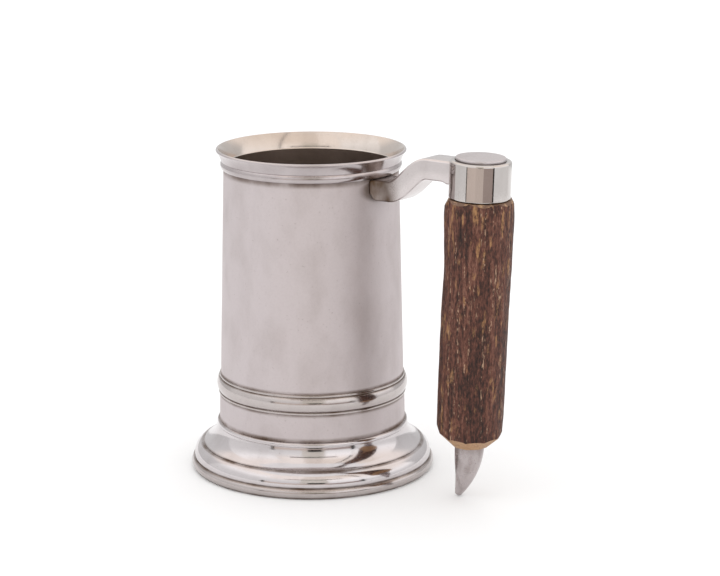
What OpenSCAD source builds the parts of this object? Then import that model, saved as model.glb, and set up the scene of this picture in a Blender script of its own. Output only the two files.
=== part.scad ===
// One-pint pewter tankard: a tapered drum on a moulded foot, and a bracket arm that
// carries an upright antler grip, which ends in a curved metal spur.
// Z is up and X runs from the drum's axis towards the grip.
// The origin is on the drum's axis, level with the table.

/* [Drum] */
// Outside radius at the drum's top edge
drum_top_r = 37.3; // [37:0.1:37.8]
// Outside radius at the top of the band
drum_band_r = 39.6; // [39.2:0.1:39.9]
// Outside radius just under the band
drum_waist_r = 40.1; // [40:0.1:40.4]
// Outside radius at the bottom edge, inside the foot
drum_bottom_r = 40.5; // [40.4:0.1:40.8]
// Height of the top edge, under the collar
drum_top_z = 133; // [132.4:0.1:133.4]
// Height of the bottom edge
drum_bottom_z = 10.5; // [9.5:0.1:11.5]
// Thickness of the wall
drum_wall = 1.4; // [1:0.1:1.8]
// Thickness of the floor disc
floor_t = 1.6; // [1:0.1:2.5]

/* [Lip collar] */
// Height of the lip, which is the height of the tankard without its handle
lip_z = 139.8; // [139.2:0.1:140.4]
// Radius of the lip's outer edge
lip_r = 40.6; // [40.2:0.1:41]
// Thickness of the lip
lip_t = 0.9; // [0.7:0.1:1.2]
// Height of the collar's lower edge
collar_z = 131.2; // [130.8:0.1:131.6]
// Height of the bead round the collar's lower half
bead_h = 3.4; // [3:0.1:3.8]

/* [Band] */
// Height of the band's lower edge
band_z = 33; // [31:0.5:35]
// Height of the band from edge to edge
band_h = 8.7; // [7:0.1:10]
// How far the band's middle roll stands out from the drum
band_proud = 1.5; // [1:0.1:2]

/* [Foot] */
// Radius of the foot where it meets the drum
foot_neck_r = 42.2; // [41.8:0.1:42.6]
// Height of the foot's upper edge
foot_z = 21.2; // [20.6:0.1:22]
// Radius at the step between the hollow and the roll
foot_step_r = 47.8; // [47:0.1:48.4]
// Height of that step
foot_step_z = 10.8; // [10:0.1:11.4]
// Widest radius of the ring that the foot stands on
ring_r = 52.8; // [52.4:0.1:53.4]
// Height of that ring
ring_h = 4.6; // [4:0.1:5]
// Thickness of the foot's wall
foot_wall = 1.5; // [1.2:0.1:1.8]

/* [Handle arm] */
// Width of the arm
arm_w = 13; // [11:0.5:14]
// Height of the arm, measured across it
arm_t = 8.7; // [7.5:0.1:8.8]
// How much wider the arm grows on each side where it meets the drum
arm_flare = 1.5; // [0.5:0.1:2.5]
// Height of the arm's centre line at the drum
arm_root_z = 126.7; // [126:0.1:126.8]
// How much higher the centre line is at the socket
arm_rise = 11.7; // [10:0.1:12]

/* [Handle] */
// Distance of the grip's top from the drum's axis
grip_x = 86; // [84:0.5:90]
// Height of the grip's top
grip_z = 128.3; // [127.5:0.1:129]
// Lean of the whole handle, its top outwards
lean = 1.9; // [1:0.1:2.5]
// Length of the grip without its tenon
grip_len = 104.5; // [104:0.1:104.8]
// Radius of the grip near its top
grip_top_r = 14.9; // [13.8:0.1:15.2]
// Radius of the grip near its bottom
grip_low_r = 13.9; // [13:0.1:14.5]
// Radius of the metal socket
socket_r = 12.6; // [12:0.1:13]
// Height of the socket
socket_h = 15.6; // [15:0.1:16.5]
// Radius of the round cap on the socket
cap_r = 10.3; // [9.5:0.1:10.8]
// How far the cap stands above the socket
cap_proud = 1.3; // [0.8:0.1:1.8]

/* [Spur] */
// Radius of the spur where it meets the grip
spur_r = 6.3; // [5.8:0.1:6.8]
// Length of the spur
spur_len = 23.5; // [23:0.1:23.6]
// How far the tip curves in towards the drum
spur_hook = 4.6; // [3:0.1:5.5]

/* [Fixing] */
// Radius of the tie rod through the grip
rod_r = 2; // [1.5:0.1:2.5]
// Depth of the rod in the spur
rod_in_spur = 8; // [6:0.5:10]

/* [Hidden] */

$fn = 96;

band_top_z = band_z + band_h;

pewter = "#c9c1bd";
bright_pewter = "#d8d2cf";
steel = "#8d8f92";
antler = "#6e4b3c";

// The collar's bead stands on the drum, and its flare rises from just outside the bead
bead_r = drum_top_r + 0.7;
bead_top_r = bead_r + 0.3;
bead_bulge = 0.5;
flare_r = bead_top_r + 0.15;
flare_dip = 0.22;
lip_edge_h = 0.6;
lip_round = 0.3;

// The band is a roll between two low fillets
fillet_h = 1.25;
fillet_proud = 0.4;
fillet_round = 0.2;
roll_bulge = 0.85;

// The foot laps up the drum, and its hollow and its roll meet at a small step
foot_lap_h = 4.4;
foot_edge_h = 1.9;
foot_edge_w = 1.1;
foot_edge_round = 0.4;
hollow_depth = 1.25;
step_w = 0.35;
step_h = 0.3;
foot_roll_bulge = 0.75;
ring_round = 1.2;
ring_bevel = 0.6;
ring_w = 3.4;
roll_low_r = ring_r - 1.35;

// The arm runs level from the drum, rises in one S bend, and is level again at the socket
bend_start_x = 44.5;
bend_end_x = 64;
bend_steps = 16;
arm_flare_x = 46;
arm_flare_round = 0.35;
arm_root_x = drum_top_r - 2;

// Room left between the rod and the holes it runs through
rod_gap = 0.3;
rod_hole_r = rod_r + rod_gap;

// Inside the socket: the tenon's pocket below, the nut's pocket above, and a web between them
tenon_r = 9.2;
tenon_h = 5;
web_t = 2.6;
nut_pocket_r = 6.5;
socket_edge = 1.3;
socket_bevel = 0.3;
cap_spigot_h = 2;
cap_bevel = 0.4;
washer_r = 5;
washer_t = 0.8;
nut_flats = 7;
nut_h = 3.2;
web_top = tenon_h + web_t;
rod_top = web_top + washer_t + nut_h + 0.8;
rod_foot = -grip_len - rod_in_spur;

// The grip's ends are cut back at a slant
top_cut_h = 3.4;
top_cut_r = 12.2;
low_cut_h = 6.4;

// The spur's rings from its root to its tip, and how far it has thinned at the tip
spur_rings = 14;
spur_sides = 32;
tip_share = 0.77;

// The drum's outer face, as a radius at a height
function between(lo, hi, t) = lo + (hi - lo) * t;
function drum_r(z) =
    z > band_top_z ? between(drum_band_r, drum_top_r, (z - band_top_z) / (drum_top_z - band_top_z))
    : z > band_z ? between(drum_waist_r, drum_band_r, (z - band_z) / band_h)
    : between(drum_bottom_r, drum_waist_r, (z - drum_bottom_z) / (band_z - drum_bottom_z));

// Points on an arc from p to q that bulges by rise to the right of the way from p to q.
// A negative rise bulges to the left. Both ends are included.
function bow(p, q, rise, steps = 8) =
    let (
        way = q - p,
        span = norm(way),
        along = way / span,
        side = [along[1], -along[0]],
        radius = (span * span / 4 + rise * rise) / (2 * rise),
        centre = (p + q) / 2 + side * (rise - radius),
        half = asin(span / 2 / radius)
    )
    [for (i = [0:steps]) let (a = half * (2 * i / steps - 1))
        centre + radius * (side * cos(a) + along * sin(a))];

// Puts its children on the handle's leaning axis, with zero at the grip's top
module on_handle() {
    translate([grip_x, 0, grip_z]) rotate([0, lean, 0]) children();
}

module drum() {
    color(pewter)
    rotate_extrude()
    polygon([
        [drum_bottom_r, drum_bottom_z],
        [drum_waist_r, band_z],
        [drum_band_r, band_top_z],
        [drum_top_r, drum_top_z],
        [drum_top_r - drum_wall, drum_top_z],
        [drum_band_r - drum_wall, band_top_z],
        [drum_waist_r - drum_wall, band_z],
        [drum_bottom_r - drum_wall, drum_bottom_z]
    ]);
}

// The collar laps over the drum's top edge, and its lip flares out
module lip_collar() {
    bead_top_z = collar_z + bead_h;
    lip_low = [lip_r, lip_z - lip_edge_h];
    lip_inside = [lip_r - lip_t, lip_z - 0.1];
    color(bright_pewter)
    rotate_extrude()
    polygon(concat(
        [[drum_r(collar_z), collar_z]],
        bow([bead_r, collar_z], [bead_top_r, bead_top_z], bead_bulge),
        bow([flare_r, bead_top_z + 0.1], lip_low - [0.1, 0.2], -flare_dip),
        bow(lip_low, lip_inside, lip_round),
        bow(lip_inside, [drum_top_r - drum_wall, drum_top_z], lip_round),
        [[drum_top_r, drum_top_z]]
    ));
}

// Moulded wire round the drum: a roll between two small fillets
module drum_band() {
    fillet_low_r = drum_waist_r + fillet_proud;
    fillet_top_r = drum_band_r + fillet_proud;
    roll_low_z = band_z + fillet_h;
    roll_top_z = band_top_z - fillet_h;
    roll_r = drum_r(band_z + band_h / 2) + band_proud - roll_bulge;
    color(bright_pewter)
    rotate_extrude()
    polygon(concat(
        [[drum_waist_r, band_z]],
        bow([fillet_low_r, band_z], [fillet_low_r, roll_low_z], fillet_round, 4),
        bow([roll_r, roll_low_z], [roll_r, roll_top_z], roll_bulge),
        bow([fillet_top_r, roll_top_z], [fillet_top_r, band_top_z], fillet_round, 4),
        [[drum_band_r, band_top_z]]
    ));
}

module floor_disc() {
    color(pewter)
    rotate_extrude()
    polygon([
        [0, drum_bottom_z],
        [drum_r(drum_bottom_z) - drum_wall, drum_bottom_z],
        [drum_r(drum_bottom_z + floor_t) - drum_wall, drum_bottom_z + floor_t],
        [0, drum_bottom_z + floor_t]
    ]);
}

// Spun foot: a rounded edge at the drum, a broad hollow, a step and a roll
module foot_skirt() {
    lap_z = foot_z - foot_lap_h;
    hollow_top = [foot_neck_r, foot_z - foot_edge_h];
    hollow_low = [foot_step_r - step_w, foot_step_z + step_h];
    inside_top = [drum_r(lap_z) + 0.3, lap_z - 0.5];
    inside_step = [foot_step_r - foot_wall, foot_step_z - 4 * step_h];
    color(pewter)
    rotate_extrude()
    polygon(concat(
        bow([roll_low_r, ring_h], [foot_step_r, foot_step_z], foot_roll_bulge),
        bow(hollow_low, hollow_top, -hollow_depth, 12),
        bow(hollow_top, [foot_neck_r - foot_edge_w, foot_z], foot_edge_round, 6),
        [[drum_r(foot_z), foot_z]],
        [[drum_r(lap_z), lap_z]],
        bow(inside_top, inside_step + [-step_w, step_h], 0.9),
        bow(inside_step, [roll_low_r - foot_wall, ring_h], -0.5)
    ));
}

// Rounded wire that stiffens the foot's edge, flat underneath
module foot_ring() {
    face_r = ring_r - ring_round;
    inner_r = ring_r - ring_w;
    color(bright_pewter)
    rotate_extrude()
    polygon(concat(
        [[inner_r, ring_bevel], [inner_r + ring_bevel, 0]],
        bow([face_r, 0], [face_r, ring_h], ring_round, 12),
        [[inner_r + ring_bevel, ring_h], [inner_r, ring_h - ring_bevel]]
    ));
}

// Height and slope of the arm's centre line, and points on its upper and lower edges
function bend_way(x) = max(0, min(1, (x - bend_start_x) / (bend_end_x - bend_start_x)));
function arm_z(x) = arm_root_z + arm_rise * (1 - cos(180 * bend_way(x))) / 2;
function arm_slope(x) = atan(arm_rise * PI / 2 * sin(180 * bend_way(x)) / (bend_end_x - bend_start_x));
function arm_edge(x, side) =
    [x - side * arm_t / 2 * sin(arm_slope(x)), arm_z(x) + side * arm_t / 2 * cos(arm_slope(x))];

module handle_arm() {
    bend = [for (i = [0:bend_steps]) between(bend_start_x, bend_end_x, i / bend_steps)];
    half_w = arm_w / 2;
    root_w = half_w + arm_flare;
    color(bright_pewter)
    difference() {
        intersection() {
            rotate([90, 0, 0])
            linear_extrude(2 * root_w + 2, center = true)
            polygon(concat(
                [arm_edge(arm_root_x, 1)],
                [for (x = bend) arm_edge(x, 1)],
                [arm_edge(grip_x, 1), arm_edge(grip_x, -1)],
                [for (i = [bend_steps:-1:0]) arm_edge(bend[i], -1)],
                [arm_edge(arm_root_x, -1)]
            ));
            linear_extrude(grip_z + 40)
            polygon(concat(
                [[arm_root_x, root_w]],
                bow([drum_top_r, root_w], [arm_flare_x, half_w], arm_flare_round, 6),
                [[grip_x, half_w], [grip_x, -half_w]],
                bow([arm_flare_x, -half_w], [drum_top_r, -root_w], arm_flare_round, 6),
                [[arm_root_x, -root_w]]
            ));
        }
        translate([0, 0, band_top_z])
        cylinder(h = drum_top_z - band_top_z, r1 = drum_band_r, r2 = drum_top_r);
        on_handle()
        cylinder(h = 3 * socket_h, r = socket_r, center = true);
    }
}

// Cast socket, hollow from both ends: the grip's tenon below, the nut above
module socket() {
    edge_rise = socket_edge * (1 - sqrt(0.5));
    color(bright_pewter)
    on_handle()
    rotate_extrude()
    polygon(concat(
        [[tenon_r, 0], [socket_r - socket_bevel, 0], [socket_r, socket_bevel]],
        bow([socket_r, socket_h - socket_edge], [socket_r - socket_edge, socket_h], edge_rise, 6),
        [
            [nut_pocket_r, socket_h],
            [nut_pocket_r, web_top],
            [rod_hole_r, web_top],
            [rod_hole_r, tenon_h],
            [tenon_r, tenon_h]
        ]
    ));
}

module socket_cap() {
    color(bright_pewter)
    on_handle()
    rotate_extrude()
    polygon([
        [0, socket_h - cap_spigot_h],
        [nut_pocket_r, socket_h - cap_spigot_h],
        [nut_pocket_r, socket_h],
        [cap_r, socket_h],
        [cap_r, socket_h + cap_proud - cap_bevel],
        [cap_r - cap_bevel, socket_h + cap_proud],
        [0, socket_h + cap_proud]
    ]);
}

module rod_washer() {
    color(steel)
    on_handle()
    translate([0, 0, web_top])
    difference() {
        cylinder(h = washer_t, r = washer_r);
        translate([0, 0, -1]) cylinder(h = washer_t + 2, r = rod_hole_r);
    }
}

module rod_nut() {
    color(steel)
    on_handle()
    translate([0, 0, web_top + washer_t])
    difference() {
        cylinder(h = nut_h, r = nut_flats / 2 / cos(30), $fn = 6);
        translate([0, 0, -1]) cylinder(h = nut_h + 2, r = rod_r);
    }
}

module tie_rod() {
    color(steel)
    on_handle()
    translate([0, 0, rod_foot]) cylinder(h = rod_top - rod_foot, r = rod_r);
}

module grip() {
    color(antler)
    on_handle()
    rotate_extrude()
    polygon([
        [rod_hole_r, -grip_len],
        [spur_r, -grip_len],
        [grip_low_r, low_cut_h - grip_len],
        [grip_top_r, -top_cut_h],
        [top_cut_r, 0],
        [tenon_r, 0],
        [tenon_r, tenon_h],
        [rod_hole_r, tenon_h]
    ]);
}

// The spur tapers to a blunt tip as its centre line curves in towards the drum
function spur_x(t) = -spur_hook * pow(t, 2.6);
function spur_radius(t) = spur_r * (1 - tip_share * pow(t, 1.7));

module spur() {
    way = [for (i = [0:spur_rings]) i / spur_rings];
    points = [for (t = way) for (k = [0:spur_sides - 1]) let (a = 360 * k / spur_sides)
        [spur_x(t) + spur_radius(t) * cos(a), spur_radius(t) * sin(a), -t * spur_len]];
    sides = [for (i = [0:spur_rings - 1]) for (k = [0:spur_sides - 1])
        let (here = i * spur_sides, next = (k + 1) % spur_sides)
        [here + k, here + next, here + spur_sides + next, here + spur_sides + k]];
    top = [for (k = [spur_sides - 1:-1:0]) k];
    tip = [for (k = [0:spur_sides - 1]) spur_rings * spur_sides + k];
    color(pewter)
    on_handle()
    translate([0, 0, -grip_len])
    difference() {
        polyhedron(points = points, faces = concat(sides, [top, tip]));
        translate([0, 0, -rod_in_spur]) cylinder(h = rod_in_spur + 1, r = rod_r);
    }
}

drum();
lip_collar();
drum_band();
floor_disc();
foot_skirt();
foot_ring();
handle_arm();
socket();
socket_cap();
rod_nut();
rod_washer();
tie_rod();
grip();
spur();
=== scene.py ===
# %% [markdown]
# # A pewter tankard with an antler grip
# This lesson dresses a finished mechanical model of a one-pint tankard for rendering. The mechanical
# model fixes every size and place. Blender adds what the eye needs: smooth turned mouldings, soft
# cast edges, rough antler, and metal that shows how it was made and used.
# Blender works in metres here, and outlines are written in millimetres, so MM turns one into the other.

# %% Load the mechanical model
import math

import bmesh
import bpy
import numpy as np
from mathutils import Matrix, Vector


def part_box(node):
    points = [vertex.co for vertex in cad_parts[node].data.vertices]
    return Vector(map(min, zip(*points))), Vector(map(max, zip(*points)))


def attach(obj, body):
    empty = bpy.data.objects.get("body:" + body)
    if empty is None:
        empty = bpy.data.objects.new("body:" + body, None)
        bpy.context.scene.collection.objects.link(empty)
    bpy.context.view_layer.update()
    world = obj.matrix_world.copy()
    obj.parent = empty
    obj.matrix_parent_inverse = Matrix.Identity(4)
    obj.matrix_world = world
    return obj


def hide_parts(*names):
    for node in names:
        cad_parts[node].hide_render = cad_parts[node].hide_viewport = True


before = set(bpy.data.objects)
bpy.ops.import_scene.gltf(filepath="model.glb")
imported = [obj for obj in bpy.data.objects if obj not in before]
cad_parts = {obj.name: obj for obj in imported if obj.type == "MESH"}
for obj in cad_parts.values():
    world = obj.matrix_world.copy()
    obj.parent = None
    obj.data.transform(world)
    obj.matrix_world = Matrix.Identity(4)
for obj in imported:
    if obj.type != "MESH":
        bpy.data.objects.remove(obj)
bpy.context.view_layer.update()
MM = 0.001
FULL_TURN = 2 * math.pi

# %% [markdown]
# ## Camera
# A long lens from nearly a metre away keeps the tankard's sides almost parallel. The camera looks
# down a little, so the lip and the foot open into narrow ellipses, and the handle stands to the
# right, turned a little towards the viewer.

# %% Camera
HANDLE_TURN = math.radians(38)
CAMERA_DISTANCE = 936.9 * MM
CAMERA_HEIGHT = 307.3 * MM
LOOK_DOWN = math.radians(13.74)
LOOK_RIGHT = math.radians(1.27)
LENS, SENSOR_WIDTH = 111.85, 36
scene = bpy.context.scene


def around(angle, distance, height):
    """A place in the room. Angle 0 is under the camera, and a positive angle is to its right."""
    turn = HANDLE_TURN + angle
    return Vector((distance * math.sin(turn), -distance * math.cos(turn), height))


camera_data = bpy.data.cameras.new("studio_camera")
camera_data.lens = LENS
camera_data.sensor_width = SENSOR_WIDTH
camera = bpy.data.objects.new("studio_camera", camera_data)
camera.location = around(0, CAMERA_DISTANCE, CAMERA_HEIGHT)
camera.rotation_euler = (math.pi / 2 - LOOK_DOWN, 0, HANDLE_TURN - LOOK_RIGHT)
bpy.context.collection.objects.link(camera)
scene.camera = camera
scene.view_settings.view_transform = "Standard"
print("camera at", [round(v, 3) for v in camera.location])

# %% [markdown]
# ## Helpers for materials
# Every material below is a small tree of nodes. Colours are picked as sRGB hex values, as in any
# paint program, and one function turns them into the linear values that the shader works with.
# Another function adds a node, sets its properties and fills or links its inputs in one call.

# %% Material helpers
def colour(text):
    """Linear RGBA from an sRGB hex value."""
    parts = [int(text[i:i + 2], 16) / 255 for i in (0, 2, 4)]
    return tuple(p / 12.92 if p <= 0.04045 else ((p + 0.055) / 1.055) ** 2.4 for p in parts) + (1,)


def add(tree, kind, inputs=None, **settings):
    """Adds a node. An input that is given a socket is linked to it, and any other is set."""
    made = tree.nodes.new(kind)
    for name, value in settings.items():
        setattr(made, name, value)
    for name, value in (inputs or {}).items():
        if isinstance(value, bpy.types.NodeSocket):
            tree.links.new(value, made.inputs[name])
        else:
            made.inputs[name].default_value = value
    return made


def new_material(name):
    """An empty material, and its tree."""
    material = bpy.data.materials.new(name)
    material.use_nodes = True
    material.node_tree.nodes.clear()
    return material, material.node_tree


def show(tree, shader):
    """Sends a shader to the surface."""
    add(tree, "ShaderNodeOutputMaterial", {"Surface": shader.outputs[0]})


# %% [markdown]
# ## Studio
# Polished metal shows its surroundings more than itself, so the room is part of the finish. The
# tankard stands on pale paper in a white room that lights it evenly. What the metal mirrors is a ring
# of glowing cards bent round it: greyer in front, where a camera and its stand would be, warm higher
# up, bright at the right and duller behind. Thin dark cards are the gaps, poles and people of a real
# studio, and they give the polish its crisp dark lines. One card all round would be simpler, but
# then every moulding would look like grey paint. Only reflections see the cards. The camera doesn't,
# and they light nothing, so a card can be tuned for the metal without leaving a mark on the paper.

# %% Studio
def deselect():
    """Back to object mode with nothing selected."""
    if bpy.context.object and bpy.context.object.mode != "OBJECT":
        bpy.ops.object.mode_set(mode="OBJECT")
    bpy.ops.object.select_all(action="DESELECT")


def screen(name, angle, width, distance, shades, low=0, high=1.3):
    """An upright glowing card bent round the tankard. Angle and width are in degrees and lengths in
    metres. Shades gives its (height, strength, colour) from the bottom up."""
    deselect()
    bpy.ops.mesh.primitive_plane_add(size=1)
    card = bpy.context.object
    card.name = name
    start = math.radians(angle - width / 2)
    steps = max(4, round(width / 3))
    bpy.ops.object.mode_set(mode="EDIT")
    bpy.ops.mesh.merge(type="CENTER")
    bpy.ops.transform.translate(value=around(start, distance, low))
    for i in range(steps):
        here = start + math.radians(width) * i / steps
        there = start + math.radians(width) * (i + 1) / steps
        move = around(there, distance, 0) - around(here, distance, 0)
        bpy.ops.mesh.extrude_vertices_move(TRANSFORM_OT_translate={"value": move})
    bpy.ops.mesh.select_all(action="SELECT")
    bpy.ops.mesh.extrude_edges_move(TRANSFORM_OT_translate={"value": (0, 0, high - low)})
    bpy.ops.object.mode_set(mode="OBJECT")
    light, tree = new_material(name)
    place = add(tree, "ShaderNodeTexCoord")
    rise = add(tree, "ShaderNodeSeparateXYZ", {"Vector": place.outputs["Object"]})
    grades = add(tree, "ShaderNodeValToRGB", {"Fac": rise.outputs["Z"]})
    ramp = grades.color_ramp
    for height, strength, hex_value in shades:
        step = ramp.elements.new(height)
        step.color = [strength * part for part in colour(hex_value)[:3]] + [1]
    ramp.elements.remove(ramp.elements[0])
    ramp.elements.remove(ramp.elements[-1])
    show(tree, add(tree, "ShaderNodeEmission", {"Color": grades.outputs[0], "Strength": 1.0}))
    card.data.materials.append(light)
    card.visible_camera = False
    card.visible_diffuse = False
    card.visible_shadow = False
    print(name, "card:", width, "degrees wide,", round(high - low, 3), "m high")


room = bpy.data.worlds.new("white_room")
room.use_nodes = True
room.node_tree.nodes["Background"].inputs["Color"].default_value = colour("ffffff")
room.node_tree.nodes["Background"].inputs["Strength"].default_value = 1.15
scene.world = room

deselect()
bpy.ops.mesh.primitive_plane_add(size=6)
floor = bpy.context.object
floor.name = "studio_floor"
paper, tree = new_material("pale_paper")
fibres = add(tree, "ShaderNodeTexNoise", {"Scale": 1 / (0.6 * MM), "Detail": 2.0})
grain = add(tree, "ShaderNodeBump", {"Height": fibres.outputs[0], "Distance": 0.02 * MM, "Strength": 0.2})
sheet = {"Base Color": colour("f6f6f6"), "Roughness": 0.9, "Normal": grain.outputs[0]}
sheet.update({"Emission Color": colour("ffffff"), "Emission Strength": 0.06})
show(tree, add(tree, "ShaderNodeBsdfPrincipled", sheet))
floor.data.materials.append(paper)

WHITE, CREAM, IVORY, WARM, ROSE, TAN = "ffffff", "fff8f2", "faf6ec", "fff0e6", "ffeae2", "faf0e6"
DARK, GREY_BROWN, NEAR_BLACK = "2a2622", "8a7a6c", "3a332d"


def plain(strength, hex_value):
    """The shades of a card that is the same from bottom to top."""
    return [(0.1, strength, hex_value), (0.9, strength, hex_value)]


front_left = [(0.001, 0.82, WARM), (0.065, 0.82, WARM), (0.1, 0.95, WHITE), (0.25, 1.1, WHITE)]
front_left += [(0.45, 1.32, CREAM), (0.9, 1.3, CREAM)]
front_middle = [(0.001, 0.76, WARM), (0.065, 0.76, WARM), (0.12, 0.9, IVORY), (0.45, 0.95, IVORY)]
front_middle += [(0.55, 1.12, TAN), (0.9, 1.12, TAN)]
front_right = [(0.001, 0.48, ROSE), (0.065, 0.48, ROSE), (0.1, 1.15, WHITE), (0.25, 1.42, WHITE)]
front_right += [(0.45, 1.42, CREAM), (0.58, 1.25, TAN), (0.9, 1.22, TAN)]
side_left = [(0.01, 0.94, WHITE), (0.25, 1.0, WHITE), (0.5, 1.38, WHITE), (0.9, 1.35, CREAM)]
side_right = [(0.01, 0.95, WHITE), (0.1, 1.0, WHITE), (0.2, 1.35, WHITE), (0.5, 1.3, CREAM)]
side_right += [(0.9, 1.2, TAN)]
back_left = [(0.01, 0.76, WHITE), (0.38, 0.85, WHITE), (0.55, 1.25, CREAM), (0.9, 1.3, CREAM)]
back_right = [(0.01, 0.7, WHITE), (0.38, 0.82, WHITE), (0.55, 1.25, CREAM), (0.9, 1.3, CREAM)]
# The pale cards, then the dark ones that stand just in front of them
screen("front_left", -29, 34, 0.5, front_left)
screen("front_middle", 1, 26, 0.5, front_middle)
screen("front_right", 30, 32, 0.5, front_right)
screen("side_left", -80, 64, 0.6, side_left)
screen("side_right", 80, 64, 0.6, side_right)
screen("back_left", -146, 68, 0.7, back_left)
screen("back_right", 146, 68, 0.7, back_right)
screen("dark_seam", 48, 3, 0.498, plain(0.1, DARK), 0.36)
screen("beam", 1, 60, 0.496, plain(0.12, DARK), 0.38, 0.42)
screen("rim_left", -46, 3.5, 0.498, plain(0.25, GREY_BROWN), 0, 0.12)
screen("rim_right", 46, 4.5, 0.498, plain(0.12, NEAR_BLACK), 0, 0.12)
screen("camera_and_crew", 3, 16, 0.497, plain(0.04, DARK), 0.0585, 0.14)

# %% [markdown]
# ## Helpers for modelling
# Blender's operators work on what is selected, so these helpers say what to select, and then change,
# colour or cut it. A modifier is applied as soon as it is added, which keeps each piece plain mesh.

# %% Modelling helpers
def pick(piece):
    """Selects one piece alone and makes it active."""
    deselect()
    piece.select_set(True)
    bpy.context.view_layer.objects.active = piece


def apply_modifier(piece, name, kind, **settings):
    """Adds a modifier with its settings and applies it."""
    made = piece.modifiers.new(name, kind)
    for key, value in settings.items():
        setattr(made, key, value)
    pick(piece)
    bpy.ops.object.modifier_apply(modifier=name)


def swell(piece, name, size, depth):
    """Pushes a piece's surface in and out by soft noise of that size and depth, in mm."""
    clouds = bpy.data.textures.new(name, "CLOUDS")
    clouds.noise_scale = size * MM
    clouds.noise_depth = 1
    local = {"texture": clouds, "texture_coords": "LOCAL"}
    apply_modifier(piece, name, "DISPLACE", strength=2 * depth * MM, **local)


def select_faces(test):
    """In edit mode, selects only the faces that pass a test."""
    bpy.ops.mesh.select_all(action="DESELECT")
    mesh = bmesh.from_edit_mesh(bpy.context.object.data)
    for face in mesh.faces:
        if test(face):
            face.select_set(True)
    bmesh.update_edit_mesh(bpy.context.object.data)


def paint_faces(test, number=1):
    """In edit mode, gives the faces that pass a test the piece's material of that number."""
    mesh = bmesh.from_edit_mesh(bpy.context.object.data)
    for face in mesh.faces:
        if test(face):
            face.material_index = number
    bmesh.update_edit_mesh(bpy.context.object.data)


def cut_off(point, facing):
    """In edit mode, cuts off what lies past a plane and fills the cut. The point is in metres."""
    bpy.ops.mesh.select_all(action="SELECT")
    cut = {"plane_co": point, "plane_no": facing, "clear_outer": True, "use_fill": True}
    bpy.ops.mesh.bisect(threshold=0.001 * MM, **cut)


# %% [markdown]
# ## Helpers for turned pieces
# Nearly every part of a tankard was made on a lathe: a thin outline turned about one axis. Blender's
# spin operator does the same. A Screw modifier could too, but the operator leaves a plain mesh whose
# seam can be welded at once. An outline can be stretched from a single point by extruding it step by
# step, and arcs in it are worked out, so that polished mouldings show no flats.

# %% Turning
def bow(p, q, rise, steps=12):
    """Points in mm on an arc from p to q. It bulges by rise to the right of the way there."""
    p, q = Vector(p), Vector(q)
    if abs(rise) < 1e-6:
        return [p.lerp(q, i / steps) for i in range(steps + 1)]
    along = (q - p).normalized()
    side = Vector((along.y, -along.x))
    radius = ((q - p).length_squared / 4 + rise * rise) / (2 * rise)
    centre = (p + q) / 2 + side * (rise - radius)
    half = math.asin((q - p).length / 2 / radius)
    turns = [half * (2 * i / steps - 1) for i in range(steps + 1)]
    return [centre + radius * (side * math.cos(a) + along * math.sin(a)) for a in turns]


def turned(name, outline, sides=192, crease=30):
    """Spins an outline of (radius, height) points in mm about the Z axis.
    The outline is a closed loop, or has both its ends on the axis."""
    deselect()
    points = [Vector((r * MM, 0, z * MM)) for r, z in outline]
    bpy.ops.mesh.primitive_plane_add(size=MM)
    piece = bpy.context.object
    piece.name = name
    bpy.ops.object.mode_set(mode="EDIT")
    bpy.ops.mesh.merge(type="CENTER")
    bpy.ops.transform.translate(value=points[0])
    for here, there in zip(points, points[1:] + points[:1]):
        if here.x > 1e-7 or there.x > 1e-7:
            bpy.ops.mesh.extrude_vertices_move(TRANSFORM_OT_translate={"value": there - here})
    bpy.ops.mesh.select_all(action="SELECT")
    bpy.ops.mesh.remove_doubles(threshold=0.002 * MM)
    bpy.ops.mesh.spin(steps=sides, angle=FULL_TURN, center=(0, 0, 0), axis=(0, 0, 1))
    bpy.ops.mesh.select_all(action="SELECT")
    bpy.ops.mesh.remove_doubles(threshold=0.002 * MM)
    bpy.ops.mesh.normals_make_consistent(inside=False)
    bpy.ops.object.mode_set(mode="OBJECT")
    bpy.ops.object.shade_smooth_by_angle(angle=math.radians(crease))
    return piece


def hand_over(piece, node):
    """Puts a finished piece in the place of its plain node."""
    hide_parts(node)
    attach(piece, "root")
    low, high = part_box(node)
    size = [round((h - l) / MM, 1) for l, h in zip(low, high)]
    print(f"{piece.name}: {len(piece.data.polygons)} faces, in the place of a node of {size} mm")


# %% [markdown]
# ## Sizes from the frame
# Heights and radii come from the boxes of the plain nodes, in millimetres. The tie rod runs along the
# handle's axis, so its box gives the lean of the whole handle: the wider it is for its height, the
# more it leans.

# %% Sizes
def height_of(node):
    """The lowest and highest level of a node, in mm."""
    low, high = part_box(node)
    return low[2] / MM, high[2] / MM


def radius_of(node):
    """The largest radius of a node that is turned about the tankard's axis or the handle's."""
    low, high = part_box(node)
    return (high[1] - low[1]) / 2 / MM


drum_low, drum_high = height_of("drum")
collar_low, lip_top = height_of("lip_collar")
band_low, band_high = height_of("drum_band")
foot_low, foot_high = height_of("foot_skirt")
ring_top = height_of("foot_ring")[1]
WALL = 1.4

levels = {}
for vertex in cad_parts["drum"].data.vertices:
    level = round(vertex.co.z / MM, 2)
    levels[level] = max(levels.get(level, 0), math.hypot(vertex.co.x, vertex.co.y) / MM)
levels = sorted(levels.items())


def drum_radius(z):
    """The drum's outside radius at a height, in mm."""
    for (z0, r0), (z1, r1) in zip(levels, levels[1:]):
        if z <= z1:
            return r0 + (r1 - r0) * (z - z0) / (z1 - z0)
    return levels[-1][1]


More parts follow.
